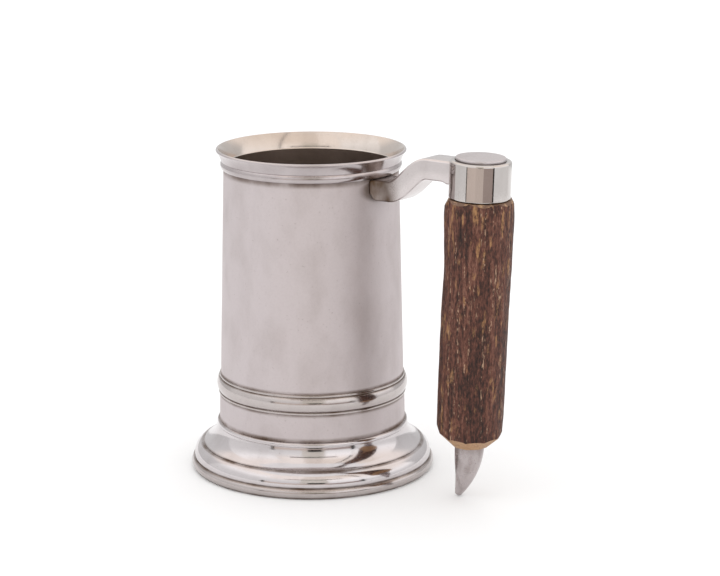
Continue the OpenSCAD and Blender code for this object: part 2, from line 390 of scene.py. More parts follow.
rod_low, rod_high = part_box("tie_rod")
rod_width = rod_high[1] - rod_low[1]
lean = math.atan2(rod_high[0] - rod_low[0] - rod_width, rod_high[2] - rod_low[2])
socket_radius = radius_of("socket")
grip_top = height_of("socket")[0] + socket_radius * math.sin(lean)
grip_top_x = rod_low[0] / MM + rod_width / 2 / MM + (grip_top - rod_low[2] / MM) * math.tan(lean)
on_handle = Matrix.Translation((grip_top_x * MM, 0, grip_top * MM)) @ Matrix.Rotation(lean, 4, "Y")
print("drum radii, mm:", [(z, round(r, 2)) for z, r in levels])
print(f"handle leans {math.degrees(lean):.2f} degrees, grip's top at x {grip_top_x:.2f}, z {grip_top:.2f}")


def put_on_handle(piece):
    """Moves a piece made round the world's axis, with zero at the grip's top, to the handle."""
    piece.matrix_world = on_handle
    pick(piece)
    bpy.ops.object.transform_apply(location=True, rotation=True, scale=True)


# %% [markdown]
# ## The drum
# The drum is sheet pewter, rolled, soldered and trued on a lathe, and hammers, tables and washing-up
# have left it a little uneven. A perfect cylinder would give dead straight reflections, so the wall
# is turned and then pushed in and out by a few hundredths of a millimetre with Displace modifiers:
# broad slow swells from the rolling, and narrow ones from use.

# %% Drum
def rows(z0, z1, step, inset=0):
    """Points on the drum's wall from one height to another, about a step apart."""
    count = max(1, round(abs(z1 - z0) / step))
    return [(drum_radius(z) - inset, z) for z in (z0 + (z1 - z0) * i / count for i in range(count + 1))]


drum_wall = rows(drum_low, drum_high - 0.2, 2.2) + rows(drum_high - 0.2, drum_low, 4, WALL)
drum = turned("drum_wall", drum_wall, sides=240)
swell(drum, "rolled_unevenness", 26, 0.045)
swell(drum, "small_dints", 7, 0.012)
hand_over(drum, "drum")

# %% [markdown]
# ## The lip collar
# A cast collar caps the drum. Its lower half is a low bead that laps over the drum, and above it the
# lip flares out in a gentle hollow to a rounded edge, then dishes in again to the drum's mouth. It
# could be rings stacked on each other, but one turned outline has no joints to show, and its tight
# groove between bead and flare is where polish never reaches.

# %% Lip collar
collar_r = drum_radius(collar_low)
lip_r = radius_of("lip_collar")
bead_top = collar_low + 3.4
mouth_r = drum_radius(drum_high) - WALL
collar_outline = (
    [(collar_r - 0.4, collar_low + 0.3), (collar_r + 0.25, collar_low + 0.02)]
    + bow((collar_r + 0.62, collar_low + 0.1), (collar_r + 0.85, bead_top - 0.05), 0.52, 16)
    + bow((collar_r + 0.8, bead_top + 0.05), (collar_r + 1.0, bead_top + 0.15), -0.04, 3)
    + bow((collar_r + 1.05, bead_top + 0.2), (lip_r - 0.25, lip_top - 1.0), -0.3, 18)
    + bow((lip_r - 0.12, lip_top - 0.85), (lip_r - 0.85, lip_top - 0.02), 0.3, 10)
    + bow((lip_r - 1.05, lip_top - 0.1), (mouth_r + 0.35, drum_high + 0.6), 0.3, 14)
    + bow((mouth_r + 0.3, drum_high + 0.45), (mouth_r + 0.02, drum_high - 0.1), -0.03, 3)
    + [(mouth_r + 0.3, drum_high - 0.15), (collar_r - 0.4, drum_high - 0.15)]
)
collar = turned("lip_collar_cast", collar_outline)
swell(collar, "collar_unevenness", 14, 0.02)
hand_over(collar, "lip_collar")

# %% [markdown]
# ## The band
# Moulded wire is soldered round the drum, a roll between two small steps. A bump in the finish could
# hint at the steps, but they catch thin lines of light, and of tarnish and painted shade, so they are
# part of the outline.

# %% Band
roll_r = radius_of("drum_band")
under_r, over_r = drum_radius(band_low), drum_radius(band_high)
band_outline = (
    [(under_r - 0.3, band_low)]
    + bow((under_r + 0.3, band_low), (under_r + 0.42, band_low + 1.15), 0.16, 8)
    + bow((roll_r - 1.0, band_low + 1.2), (roll_r - 1.0, band_high - 1.2), 0.98, 26)
    + bow((over_r + 0.5, band_high - 1.15), (over_r + 0.3, band_high), 0.16, 8)
    + [(over_r - 0.3, band_high)]
)
band = turned("band_wire", band_outline)
swell(band, "band_unevenness", 12, 0.02)
hand_over(band, "drum_band")

# %% [markdown]
# ## The foot
# The foot was spun from sheet over a wooden former: a soft edge against the drum, a broad hollow, a
# small step and a roll. It is a thin shell, so the outline goes up the outside and comes back down
# the inside. The step is a narrow ledge, and the finish darkens a line along it with tarnish and
# painted shade.

# %% Foot skirt
neck_r = drum_radius(foot_high)
foot_r = radius_of("foot_skirt")
step_r, step_z = 47.8, 10.8
tuck_r, tuck_z = drum_radius(foot_high - 4.4), foot_high - 4.4
foot_outline = (
    bow((foot_r - 0.05, foot_low + 0.1), (step_r + 0.15, step_z - 0.1), 1.15, 24)
    + bow((step_r + 0.05, step_z + 0.02), (step_r - 0.35, step_z + 0.05), -0.03, 3)
    + bow((step_r - 0.38, step_z + 0.35), (neck_r + 1.05, foot_high - 2.1), -1.3, 26)
    + bow((neck_r + 1.0, foot_high - 1.95), (neck_r + 0.15, foot_high - 0.02), 0.5, 10)
    + [(neck_r - 0.3, foot_high - 0.05), (tuck_r, tuck_z)]
    + bow((tuck_r + 0.3, tuck_z - 0.5), (step_r - 1.85, step_z - 0.9), 0.9, 12)
    + bow((step_r - 1.5, step_z - 1.2), (foot_r - 1.5, foot_low), -0.5, 10)
)
foot = turned("foot_skirt_spun", foot_outline)
swell(foot, "foot_unevenness", 16, 0.035)
hand_over(foot, "foot_skirt")

# %% [markdown]
# ## The foot ring
# A thick wire under the foot's edge stiffens it and stands on the table. A torus would do for round
# wire, but this one is rubbed flat underneath and inside, so it is an outline too.

# %% Foot ring
ring_r = radius_of("foot_ring")
ring_outline = (
    [(ring_r - 3.4, 0.7), (ring_r - 3.1, 0.15), (ring_r - 2.6, 0)]
    + bow((ring_r - 1.35, 0), (ring_r - 1.3, ring_top - 0.02), 1.29, 26)
    + [(ring_r - 2.6, ring_top - 0.02), (ring_r - 3.1, ring_top - 0.2), (ring_r - 3.4, ring_top - 0.7)]
)
ring = turned("foot_ring_wire", ring_outline)
hand_over(ring, "foot_ring")

# %% [markdown]
# ## The handle arm
# A cast arm leaves the drum under the collar, rises in one S bend and runs level into the socket. It
# could be a curve with a bevel, but its edges are square with a small round, and it spreads where it
# is soldered on. So it starts as a flat bar's end face, which is extruded section by section and
# turned to follow the bend, and a Bevel modifier rounds the long edges. Both ends go a little way
# into the metal that they join.

# %% Handle arm
ARM_WIDTH, ARM_THICK = 13, 8.7
BEND_START, BEND_END, BEND_STEPS = 44.5, 64, 20
ROOT_SPREAD, SPREAD_LONG = 4, 7
CORNER_ROUND, CORNER_START, CORNER_LONG = 2.6, 0.2, 2
SOCKET_SWELL, SWELL_START, SWELL_LONG = 0.4, 71, 2.7
FADE_POWER = 2.6
arm_low, arm_high = height_of("handle_arm")
root_z = arm_low + ARM_THICK / 2
bend_rise = arm_high - arm_low - ARM_THICK


def fading(x, start, length):
    """1 up to a start, then down to 0 over a length, quickly at first."""
    return max(0, 1 - max(0, x - start) / length) ** FADE_POWER


def arm_section(x):
    """Centre height, slope, width and thickness of the arm, in mm, at a distance from the axis."""
    way = min(1, max(0, (x - BEND_START) / (BEND_END - BEND_START)))
    slope = math.atan(bend_rise * math.pi / 2 * math.sin(math.pi * way) / (BEND_END - BEND_START))
    spread = ROOT_SPREAD * fading(x, collar_r, SPREAD_LONG)
    corner = CORNER_ROUND * fading(x, collar_r + CORNER_START, CORNER_LONG)
    drop = SOCKET_SWELL * min(1, max(0, (x - SWELL_START) / SWELL_LONG)) ** 2
    height = root_z + bend_rise * (1 - math.cos(math.pi * way)) / 2 - drop + corner / 2
    return height, slope, ARM_WIDTH + spread, ARM_THICK + 2 * drop - corner


# Sections stand close together where the arm changes size, and apart where it doesn't
bend = [BEND_START + (BEND_END - BEND_START) * i / BEND_STEPS for i in range(BEND_STEPS + 1)]
near_drum = [36.4, 37.7, 38.0, 38.4, 38.9, 39.6, 40.5, 41.5, 43]
near_socket = [66.5, 69, 71, 71.9, 72.6, 73.2, 73.8, 77]
stations = near_drum + bend + near_socket

deselect()
bpy.ops.mesh.primitive_plane_add(size=1, rotation=(0, math.pi / 2, 0))
arm = bpy.context.object
arm.name = "cast_arm"
bpy.ops.object.transform_apply(location=True, rotation=True, scale=True)
bpy.ops.object.mode_set(mode="EDIT")
height, slope, width, thick = arm_section(stations[0])
bpy.ops.transform.resize(value=(1, width * MM, thick * MM), center_override=(0, 0, 0))
bpy.ops.transform.translate(value=(stations[0] * MM, 0, height * MM))
for x0, x1 in zip(stations, stations[1:]):
    z0, slope0, width0, thick0 = arm_section(x0)
    z1, slope1, width1, thick1 = arm_section(x1)
    step = {"value": ((x1 - x0) * MM, 0, (z1 - z0) * MM)}
    bpy.ops.mesh.extrude_region_move(TRANSFORM_OT_translate=step)
    pivot = (x1 * MM, 0, z1 * MM)
    if slope1 != slope0:
        bpy.ops.transform.rotate(value=slope1 - slope0, orient_axis="Y", center_override=pivot)
    grow = (1, width1 / width0, thick1 / thick0)
    bpy.ops.transform.resize(value=grow, center_override=pivot)
bpy.ops.mesh.select_all(action="SELECT")
bpy.ops.mesh.normals_make_consistent(inside=False)
bpy.ops.object.mode_set(mode="OBJECT")
edges = {"width": 1.0 * MM, "segments": 6, "limit_method": "ANGLE", "angle_limit": math.radians(50)}
apply_modifier(arm, "rounded_edges", "BEVEL", **edges)
bpy.ops.object.shade_smooth_by_angle(angle=math.radians(35))
hand_over(arm, "handle_arm")

# %% [markdown]
# ## Socket and cap
# The socket is a cast cup, upside down over the grip's tenon, with a pocket above for the nut, and a
# round cap closes the pocket. Both are turned round the handle's own leaning axis, so they are made
# upright with zero at the grip's top and then put on the handle. The socket's straight wall has a
# few extra points near its ends, which keep the shading there as straight as the wall.

# %% Socket and cap
SOCKET_HIGH, CAP_RADIUS, CAP_PROUD = 15.6, 10.3, 1.3
TENON_RADIUS, TENON_HIGH, POCKET_RADIUS, WEB_TOP, ROD_HOLE = 9.2, 5, 6.5, 7.6, 2.3
cap_seat = SOCKET_HIGH - 0.25
socket_outline = (
    [(TENON_RADIUS, 0), (socket_radius - 0.55, 0)]
    + bow((socket_radius - 0.4, 0.02), (socket_radius, 0.5), 0.1, 4)
    + [(socket_radius, 0.65), (socket_radius, 0.9), (socket_radius, 8), (socket_radius, SOCKET_HIGH - 1.2)]
    + [(socket_radius, SOCKET_HIGH - 1.05)]
    + bow((socket_radius, SOCKET_HIGH - 0.95), (socket_radius - 0.95, SOCKET_HIGH), 0.28, 12)
    + [(CAP_RADIUS + 0.25, SOCKET_HIGH), (CAP_RADIUS - 0.1, cap_seat)]
    + [(POCKET_RADIUS, cap_seat), (POCKET_RADIUS, WEB_TOP), (ROD_HOLE, WEB_TOP)]
    + [(ROD_HOLE, TENON_HIGH), (TENON_RADIUS, TENON_HIGH)]
)
socket = turned("cast_socket", socket_outline, sides=128)
swell(socket, "socket_unevenness", 9, 0.02)
put_on_handle(socket)
hand_over(socket, "socket")

cap_top = SOCKET_HIGH + CAP_PROUD
cap_outline = (
    [(0, SOCKET_HIGH - 2), (POCKET_RADIUS - 0.1, SOCKET_HIGH - 2)]
    + [(POCKET_RADIUS - 0.1, SOCKET_HIGH - 0.2), (CAP_RADIUS - 0.25, SOCKET_HIGH - 0.2)]
    + bow((CAP_RADIUS - 0.05, SOCKET_HIGH), (CAP_RADIUS, cap_top - 0.5), 0.05, 4)
    + bow((CAP_RADIUS - 0.02, cap_top - 0.42), (CAP_RADIUS - 0.45, cap_top - 0.06), 0.12, 6)
    + [(CAP_RADIUS - 1.5, cap_top - 0.02), (CAP_RADIUS / 2, cap_top), (0, cap_top)]
)
cap = turned("socket_cap_disc", cap_outline, sides=128)
swell(cap, "cap_unevenness", 6, 0.015)
put_on_handle(cap)
hand_over(cap, "socket_cap")

# %% [markdown]
# ## The grip
# The grip is a length of stag antler with its rough outside left on. It starts as a circle with 20
# points that is extruded down the handle ring by ring, each ring set a little off the axis and a
# little fatter or leaner, and Subdivision Surface rounds that cage. The bark is real relief and not
# only a pattern. Displace modifiers push the surface along its normals by soft noise, stretched
# along the handle by an empty about eight times as long as it is wide: broad ridges, then
# channels, then fibres. How far each point stands out is kept as an attribute, so that the colour
# can follow the relief.

# %% Rings drawn downwards
def draw_down(name, sides, rings):
    """Starts a piece as the first of its (sideways place, depth, radius) rings, in mm, and extrudes
    it to each of the others. The piece is left in edit mode."""
    deselect()
    x, depth, radius = rings[0]
    disc = {"vertices": sides, "radius": radius * MM, "fill_type": "NGON"}
    bpy.ops.mesh.primitive_circle_add(location=(x * MM, 0, -depth * MM), **disc)
    piece = bpy.context.object
    piece.name = name
    bpy.ops.object.transform_apply(location=True, rotation=True, scale=True)
    bpy.ops.object.mode_set(mode="EDIT")
    for above, below in zip(rings, rings[1:]):
        move = ((below[0] - above[0]) * MM, 0, (above[1] - below[1]) * MM)
        bpy.ops.mesh.extrude_region_move(TRANSFORM_OT_translate={"value": move})
        grow = below[2] / above[2]
        centre = (below[0] * MM, 0, -below[1] * MM)
        bpy.ops.transform.resize(value=(grow, grow, 1), center_override=centre)
    bpy.ops.mesh.select_all(action="SELECT")
    bpy.ops.mesh.normals_make_consistent(inside=False)
    return piece


# %% Grip's form
GRIP_LONG = 104.5
GRIP_SIDES = 20
# Place away from the drum, depth under the grip's top and radius, all in mm
grip_rings = [
    (0.2, 0, 14.2), (0.2, 4, 14.55), (0.3, 10, 14.6), (0.55, 18, 14.4), (0.75, 26, 14.05),
    (0.6, 34, 14.0), (0.3, 44, 14.15), (0.05, 54, 14.1), (0, 64, 14.1), (-0.1, 76, 14.2),
    (-0.15, 88, 14.15), (-0.2, 96, 14.0), (-0.2, GRIP_LONG, 13.8),
]
grip = draw_down("antler_grip", GRIP_SIDES, grip_rings)
select_faces(lambda face: abs(face.normal.z) > 0.9)
bpy.ops.mesh.delete(type="FACE")
bpy.ops.object.mode_set(mode="OBJECT")
apply_modifier(grip, "round", "SUBSURF", levels=4, render_levels=4)
bpy.ops.object.mode_set(mode="EDIT")
bpy.ops.mesh.select_all(action="SELECT")
bpy.ops.mesh.region_to_loop()
bpy.ops.mesh.edge_face_add()
bpy.ops.object.mode_set(mode="OBJECT")
print("smooth grip:", len(grip.data.polygons), "faces")


# %% [markdown]
# Each layer of bark is one Displace modifier with its own size of noise. Sculpting would look as
# good, but it can't be written down and repeated.

# %% Grip's bark
def bark(piece, name, across, along, depth, basis, noise_type="SOFT_NOISE"):
    """Displaces a piece by noise that is across mm wide and along mm long."""
    deselect()
    bpy.ops.object.empty_add(location=(0, 0, 0))
    stretch = bpy.context.object
    stretch.scale = (1, 1, along / across)
    bpy.context.view_layer.update()
    clouds = bpy.data.textures.new(name, "CLOUDS")
    clouds.noise_basis = basis
    clouds.noise_type = noise_type
    clouds.noise_scale = across * MM
    clouds.noise_depth = 1
    settings = {"texture": clouds, "texture_coords": "OBJECT", "texture_coords_object": stretch}
    apply_modifier(piece, name, "DISPLACE", strength=2 * depth * MM, mid_level=0.5, **settings)
    bpy.data.objects.remove(stretch)


def from_axis(piece):
    """How far each of a piece's vertices is from its upright axis, in metres."""
    flat = np.empty(len(piece.data.vertices) * 3, np.float32)
    piece.data.vertices.foreach_get("co", flat)
    return np.hypot(flat[0::3], flat[1::3])


smooth = from_axis(grip)
bark(grip, "broad_ridges", 7, 60, 0.22, "ORIGINAL_PERLIN")
bark(grip, "channels", 2.4, 18, 0.24, "ORIGINAL_PERLIN", "HARD_NOISE")
bark(grip, "fibres", 0.9, 7, 0.12, "ORIGINAL_PERLIN")
rough = from_axis(grip)
relief = rough - smooth
relief = (relief - relief.mean()) / relief.std()
heights = grip.data.attributes.new("relief", "FLOAT", "POINT")
heights.data.foreach_set("value", relief.astype(np.float32))
print("bark stands at most", round(float(rough.max()) / MM, 2), "mm from the handle's axis")

# %% [markdown]
# The ends were cut back with a rasp, so flat slanting facets show the pale core. Each facet is one
# bisect that cuts the corner off and fills the cut. The faces that it fills take the core's material.

# %% Grip's cut ends
bark_finish, bark_tree = new_material("stag_antler_bark")
core_finish, core_tree = new_material("antler_core")
grip.data.materials.append(bark_finish)
grip.data.materials.append(core_finish)


def facet(angle, edge, end):
    """Cuts a corner off the grip. Edge and end are (radius, depth) points on the cut, in mm."""
    out = Vector((math.cos(math.radians(angle)), math.sin(math.radians(angle)), 0))
    start = out * edge[0] * MM - Vector((0, 0, edge[1] * MM))
    along = out * (end[0] - edge[0]) - Vector((0, 0, end[1] - edge[1]))
    across = Vector((-out.y, out.x, 0))
    normal = across.cross(along).normalized()
    if normal.dot(out) < 0:
        normal = -normal

    def in_cut(face):
        off = abs((face.calc_center_median() - start).dot(normal))
        return off < 0.01 * MM and face.normal.dot(normal) > 0.99

    cut_off(start, normal)
    paint_faces(in_cut)


# The angle is round the handle's axis, from the direction away from the drum. A low facet also has
# how high up the grip it starts, and a top facet how deep it starts and how wide it is, in mm.
low_facets = [(-160, 8.6), (-118, 5.6), (-80, 4.9), (-45, 4.9), (-10, 5.2), (35, 6.6), (85, 6.2), (140, 7)]
top_facets = [(-150, 4.8, 2.6), (-95, 1.9, 1.8), (-50, 1.5, 1.6), (0, 1.6, 1.5), (40, 2.8, 1.3)]
top_facets += [(100, 2.2, 1.8), (160, 4, 2.4)]
LOW_OUT, LOW_IN, LOW_DROP, TOP_OUT = 13.5, 6.4, 7, 14.5
pick(grip)
bpy.ops.object.mode_set(mode="EDIT")
for angle, high in low_facets:
    facet(angle, (LOW_OUT, GRIP_LONG - high), (LOW_IN, GRIP_LONG + LOW_DROP - high))
for angle, deep, wide in top_facets:
    facet(angle, (TOP_OUT, deep), (TOP_OUT - wide, 0))
paint_faces(lambda face: abs(face.normal.z) > 0.99 and len(face.verts) > 4)
bpy.ops.object.mode_set(mode="OBJECT")
print("facets cut:", len(low_facets), "below and", len(top_facets), "above")

# %% [markdown]
# Inside the socket the grip ends in a round tenon, and the tie rod runs through it from end to end.
# The tenon is a turned plug joined on with a Boolean modifier, and the rod's hole is another Boolean.
# Extruding both would need round edges in a top that the rasp has already cut back.

# %% Tenon and rod hole
def plug(name, radius, low, high, sides):
    """A plain turned plug on the handle's axis, sized in mm."""
    return turned(name, [(0, low), (radius, low), (radius, high), (0, high)], sides=sides)


tenon = plug("tenon", TENON_RADIUS, -3, TENON_HIGH, 64)
apply_modifier(grip, "add_tenon", "BOOLEAN", operation="UNION", object=tenon, solver="EXACT")
drill = plug("drill", ROD_HOLE, -GRIP_LONG - 2, TENON_HIGH + 1, 48)
apply_modifier(grip, "rod_hole", "BOOLEAN", operation="DIFFERENCE", object=drill, solver="EXACT")
bpy.data.objects.remove(tenon)
bpy.data.objects.remove(drill)
bpy.ops.object.shade_smooth_by_angle(angle=math.radians(38))
put_on_handle(grip)
hand_over(grip, "grip")
print("furthest from the drum, mm:", round(max(v.co.x for v in grip.data.vertices) / MM, 2))

# %% [markdown]
# ## The spur
# The grip ends in a small cast claw that curves in towards the drum and just clears the table. Rings
# are extruded down its curve, each leaner than the last, and two slanting cuts leave the flats where
# it was filed. A bent cone would be quicker, but rings let the claw thin slowly at first and then
# fast. The tie rod screws into its root, so the root has a hole.

# %% Spur
SPUR_RADIUS, SPUR_LONG, SPUR_HOOK, TIP_SHARE, SPUR_EDGE = 6.3, 23.5, 4.6, 0.77, 0.35
ROD_IN_SPUR, ROOT_WALL, SPUR_STEPS = 8, 3.6, 30


def spur_ring(way):
    """Sideways place, depth and radius of the spur's ring, in mm, from its root to its tip."""
    radius = SPUR_RADIUS * (1 - TIP_SHARE * way ** 1.7)
    return -SPUR_HOOK * way ** 2.6, GRIP_LONG + SPUR_LONG * way, radius


rings = [(0, GRIP_LONG, SPUR_RADIUS - SPUR_EDGE), (0, GRIP_LONG + SPUR_EDGE, SPUR_RADIUS)]
rings += [spur_ring(0.03 + 0.95 * i / SPUR_STEPS) for i in range(SPUR_STEPS + 1)]
tip_x, tip_depth, tip_radius = rings[-1]
rings += [(tip_x - 0.03, tip_depth + 0.3, tip_radius * 0.86)]
rings += [(tip_x - 0.05, tip_depth + 0.45, tip_radius * 0.55)]
spur = draw_down("cast_spur", 48, rings)
# Each filed flat is a point on it, in mm, and the way it faces
flats = [
    ((-5.6, 0, -GRIP_LONG), (-0.94, -0.34, 0.03)),
    ((-4.8, -0.6, -GRIP_LONG - 23), (-0.30, -1, -0.28)),
]
for point, facing in flats:
    cut_off(Vector(point) * MM, Vector(facing).normalized())
select_faces(lambda face: face.normal.z > 0.99 and face.calc_area() > 50 * MM * MM)
bpy.ops.mesh.inset(thickness=ROOT_WALL * MM)
bpy.ops.mesh.extrude_region_move(TRANSFORM_OT_translate={"value": (0, 0, -ROD_IN_SPUR * MM)})
bpy.ops.object.mode_set(mode="OBJECT")
bpy.ops.object.shade_smooth_by_angle(angle=math.radians(12))
put_on_handle(spur)
hand_over(spur, "spur")

# %% [markdown]
# # Finishes
# ## Pewter
# Pewter is tin with a little copper and antimony, bare of any coat. It is softer and warmer than
# silver, so it takes a polish but loses it again in small scuffs, and the hollows keep a brown
# tarnish, which the finishes paint together with the shade that falls there. One function makes
# every pewter finish on the tankard, because they differ only in tint, roughness, the depth of the
# lathe's lines and how much tarnish and painted shade they carry.

# %% Pewter
def sized(tree, across, along, detail):
    """Inputs for noise that is across mm wide and along mm high, from squeezed object coordinates."""
    place = add(tree, "ShaderNodeTexCoord")
    fit = (1 / (across * MM), 1 / (across * MM), 1 / (along * MM))
    squeezed = add(tree, "ShaderNodeMapping", {"Vector": place.outputs["Object"], "Scale": fit})
    return {"Vector": squeezed.outputs[0], "Scale": 1.0, "Detail": detail}


def near(tree, measure, value, reach, most, full=0.1):
    """Falls from most to 0 as a measure in metres goes from full mm to reach mm away from a value,
    which is in mm too."""
    off = add(tree, "ShaderNodeMath", {0: measure, 1: value * MM}, operation="SUBTRACT")
    away = add(tree, "ShaderNodeMath", {0: off.outputs[0]}, operation="ABSOLUTE")
    fade = {"Value": away.outputs[0], "From Min": full * MM, "From Max": reach * MM}
    fade.update({"To Min": most, "To Max": 0.0})
    return add(tree, "ShaderNodeMapRange", fade, interpolation_type="SMOOTHERSTEP").outputs[0]


def pewter(name, tint, tarnish_and_shade, roughness=0.14, scuffs=0.08, line_depth=0.002, grime_and_shade=0.8, seams=(),
           root=(), arm_reflection_and_shade=(), cloud=(11, 20), patchy=0.12):
    """Bare pewter, with an ordinary polish unless told otherwise. Scuffs add to the roughness in
    specks, line_depth is how deep the lathe's lines are in mm, and grime is how dark corners get with
    tarnishing and painted shade. Seams are (height, reach, depth) of darkening at a height. Root is
    (full, reach, depth) of darkening out from the drum's wall, and spot is the same round the arm's
    root: a painted reflection and shade of the arm on the drum. Cloud is the width and height of the
    dull patches in mm, and patchy is how much they show."""
    material, tree = new_material(name)
    place = add(tree, "ShaderNodeTexCoord").outputs["Object"]
    axes = add(tree, "ShaderNodeSeparateXYZ", {"Vector": place})
    cloudy = add(tree, "ShaderNodeTexNoise", sized(tree, *cloud, 5.0))
    lines = add(tree, "ShaderNodeTexNoise", sized(tree, 14, 0.35, 3.0))
    specks = add(tree, "ShaderNodeTexNoise", sized(tree, 0.9, 0.9, 3.0))

    # Tarnish and painted shade in corners and along seams, darkening out from the drum's wall,
    # and a painted reflection and shade of the arm on the drum round its joint
    corner = add(tree, "ShaderNodeAmbientOcclusion", {"Distance": 1.6 * MM}, samples=6)
    open_air = {"Value": corner.outputs["AO"], "From Min": 0.45, "From Max": 0.92}
    open_air.update({"To Min": grime_and_shade, "To Max": 0.0})
    dirt_and_shade = [add(tree, "ShaderNodeMapRange", open_air, interpolation_type="SMOOTHSTEP").outputs[0]]
    dirt_and_shade += [near(tree, axes.outputs["Z"], height, reach, most) for height, reach, most in seams]
    if root:
        level = add(tree, "ShaderNodeVectorMath", {0: place, 1: (1, 1, 0)}, operation="MULTIPLY").outputs[0]
        out = add(tree, "ShaderNodeVectorMath", {0: level}, operation="LENGTH").outputs["Value"]
        dirt_and_shade.append(near(tree, out, collar_r, root[1], root[2], root[0]))
    # A painted reflection and shade of the arm on the drum, round the arm's root
    if arm_reflection_and_shade:
        joint = {0: place, 1: (collar_r * MM, 0, root_z * MM)}
        offset = add(tree, "ShaderNodeVectorMath", joint, operation="SUBTRACT").outputs[0]
        flatter = {0: offset, 1: (1, 1, 2.3)}
        squeezed = add(tree, "ShaderNodeVectorMath", flatter, operation="MULTIPLY").outputs[0]
        apart = add(tree, "ShaderNodeVectorMath", {0: squeezed}, operation="LENGTH").outputs["Value"]
        dirt_and_shade.append(near(tree, apart, 0, arm_reflection_and_shade[1], arm_reflection_and_shade[2], arm_reflection_and_shade[0]))
    deep = dirt_and_shade[0]
    for more in dirt_and_shade[1:]:
        deep = add(tree, "ShaderNodeMath", {0: deep, 1: more}, operation="MAXIMUM").outputs[0]
    uneven = {"Value": cloudy.outputs[0], "From Min": 0.3, "From Max": 0.7, "To Min": 0.35, "To Max": 1.2}
    broken = add(tree, "ShaderNodeMapRange", uneven)
    deep = add(tree, "ShaderNodeMath", {0: deep, 1: broken.outputs[0]}, operation="MULTIPLY").outputs[0]

    # Dull patches and pin marks
    patch_range = {"Value": cloudy.outputs[0], "From Min": 0.45, "From Max": 0.7, "To Max": patchy}
    patches = add(tree, "ShaderNodeMapRange", patch_range)
    pin_range = {"Value": specks.outputs[0], "From Min": 0.7, "From Max": 0.74, "To Max": 2.5 * patchy}
    pins = add(tree, "ShaderNodeMapRange", pin_range)
    marks = add(tree, "ShaderNodeMath", {0: pins.outputs[0], 1: patches.outputs[0]}, operation="MAXIMUM")
    both = add(tree, "ShaderNodeMath", {0: deep, 1: marks.outputs[0]}, operation="MAXIMUM")
    # The tint turns to the tarnish colour with tarnish, painted shade, dull patches and pin marks
    mixed = {0: both.outputs[0], 6: colour(tint), 7: colour(tarnish_and_shade)}
    tone = add(tree, "ShaderNodeMix", mixed, data_type="RGBA")

    # Scuffs, and the fine relief of the lathe's lines and pits
    worn_range = {"Value": specks.outputs[0], "From Min": 0.4, "From Max": 0.7}
    worn_range.update({"To Min": roughness, "To Max": roughness + scuffs})
    worn = add(tree, "ShaderNodeMapRange", worn_range)
    fouled = add(tree, "ShaderNodeMath", {0: deep, 1: 0.25, 2: worn.outputs[0]}, operation="MULTIPLY_ADD")
    turned_lines = add(tree, "ShaderNodeBump", {"Height": lines.outputs[0], "Distance": line_depth * MM})
    pits = {"Height": specks.outputs[0], "Distance": 0.4 * line_depth * MM, "Normal": turned_lines.outputs[0]}
    pitted = add(tree, "ShaderNodeBump", pits)
    look = {"Base Color": tone.outputs[2], "Metallic": 1.0, "Roughness": fouled.outputs[0]}
    look["Normal"] = pitted.outputs[0]
    show(tree, add(tree, "ShaderNodeBsdfPrincipled", look))
    print(f"{name}: {len(tree.nodes)} nodes")
    return material


# %% [markdown]
# ## The pewter finishes
# The drum was left satin from the lathe and the mouldings were polished. The lip's inside is mellow
# from drink, the arm is a polished casting that is darker where it is soldered to the drum, the
# socket is buffed like a mirror, the cap is scuffed by thumbs, the spur still shows its filing, and
# the inside is stained and darkened further with painted shade. One finish for all would be
# quicker, but then the pieces would run together.

# %% Pewter finishes
BROWN, DARK_BROWN = "5a4536", "32261c"
# Drum: tarnish and painted shade under the collar, by the band and at the foot
drum_seams = [(collar_low, 3.2, 0.7), (band_high, 1.6, 0.65), (band_low, 1.6, 0.65), (foot_high, 2.2, 0.75)]
# Collar: tarnish and painted shade at its foot and in the groove, and a little round the bead and flare
collar_seams = [(collar_low, 0.6, 0.7), (bead_top + 0.1, 0.5, 0.4), (bead_top, 9, 0.26)]
# Band: tarnish and painted shade along its edges and steps
band_seams = [(band_low, 0.5, 0.7), (band_low + 1.2, 0.6, 0.9), (band_high - 1.2, 0.6, 0.9)]
band_seams += [(band_high, 0.5, 0.7)]
# Foot: tarnish and painted shade at the drum, in the step and where it sits on the ring
foot_seams = [(foot_high, 0.8, 0.75), (step_z, 0.8, 0.9), (foot_low, 0.9, 0.9)]
# Ring: tarnish and painted shade where it meets the foot and where it stands on the table
ring_seams = [(ring_top, 0.9, 0.9), (0, 1.2, 0.7)]
# Spur: darker towards its root, under the grip
spur_seams = [(rod_low[2] / MM + ROD_IN_SPUR, 6, 0.5)]

# Satin from fine lathe lines: broad soft gradients and no clear reflection
# Beside the arm's root the drum carries a painted reflection and shade of the arm
satin = pewter("pewter_satin_turned", "d0c8c9", "6e5948", roughness=0.6, scuffs=0.06, line_depth=0.005,
               grime_and_shade=0.6, seams=drum_seams, arm_reflection_and_shade=(9, 15, 0.85))
# Polished after spinning: streaks of the room, and dark lines of tarnish and painted shade in the steps
spun = pewter("pewter_spun_bright", "cdc7c8", BROWN, roughness=0.1, scuffs=0.06, line_depth=0.003,
              seams=foot_seams)
# Polished and handled: clear but softened reflections, duller above the bead
lipped = pewter("pewter_collar_polished", "c5bdbd", "5a4749", scuffs=0.07, grime_and_shade=0.45, seams=collar_seams)
# The same polish, tinted by drink: a warm glow inside the lip
mellow = pewter("pewter_lip_mellow", "cbc1ba", BROWN, scuffs=0.07, grime_and_shade=0.4)
# Drawn wire, polished in place: a bright roll between two steps dark with tarnish and painted shade
banded = pewter("pewter_band_polished", "bfb7b5", BROWN, seams=band_seams)
# The same wire, a little rougher from rubbing on tables, and a little darker
ringed = pewter("pewter_ring_polished", "b9b1af", BROWN, roughness=0.15, seams=ring_seams)
